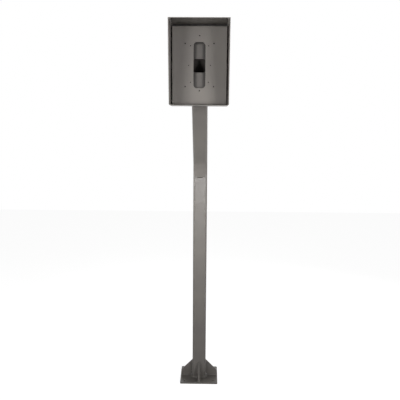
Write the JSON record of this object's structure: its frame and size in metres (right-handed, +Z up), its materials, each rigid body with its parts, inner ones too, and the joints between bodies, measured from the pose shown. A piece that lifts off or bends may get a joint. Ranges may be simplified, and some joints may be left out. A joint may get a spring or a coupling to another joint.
{
  "type": "gate intercom post",
  "caption": "Square-tube gooseneck post on a gusseted base plate, with a hooded housing and a slotted face plate for a gate intercom.",
  "frame": {"origin": "centre of the underside of the base plate", "axes": "+Z up the post, -Y the way the hood faces, +X to the right of a person who stands in front and looks at the face plate"},
  "size_m": [0.172, 0.494, 1.248],
  "materials": {
    "powder_coat": "satin powder coat over welded mild steel, warm mid grey"
  },
  "bodies": {
    "root": {"base_plate": "powder_coat", "gusset_front": "powder_coat", "gusset_rear": "powder_coat", "gusset_left": "powder_coat", "gusset_right": "powder_coat", "gusset_front_weld": "powder_coat", "gusset_rear_weld": "powder_coat", "gusset_left_weld": "powder_coat", "gusset_right_weld": "powder_coat", "foot_weld": "powder_coat", "gooseneck_tube": "powder_coat", "neck_weld": "powder_coat", "housing_back": "powder_coat", "housing_wrap": "powder_coat", "housing_top": "powder_coat", "housing_seam_weld": "powder_coat", "face_plate": "powder_coat", "face_tack_weld": "powder_coat"}
  },
  "joints": []
}
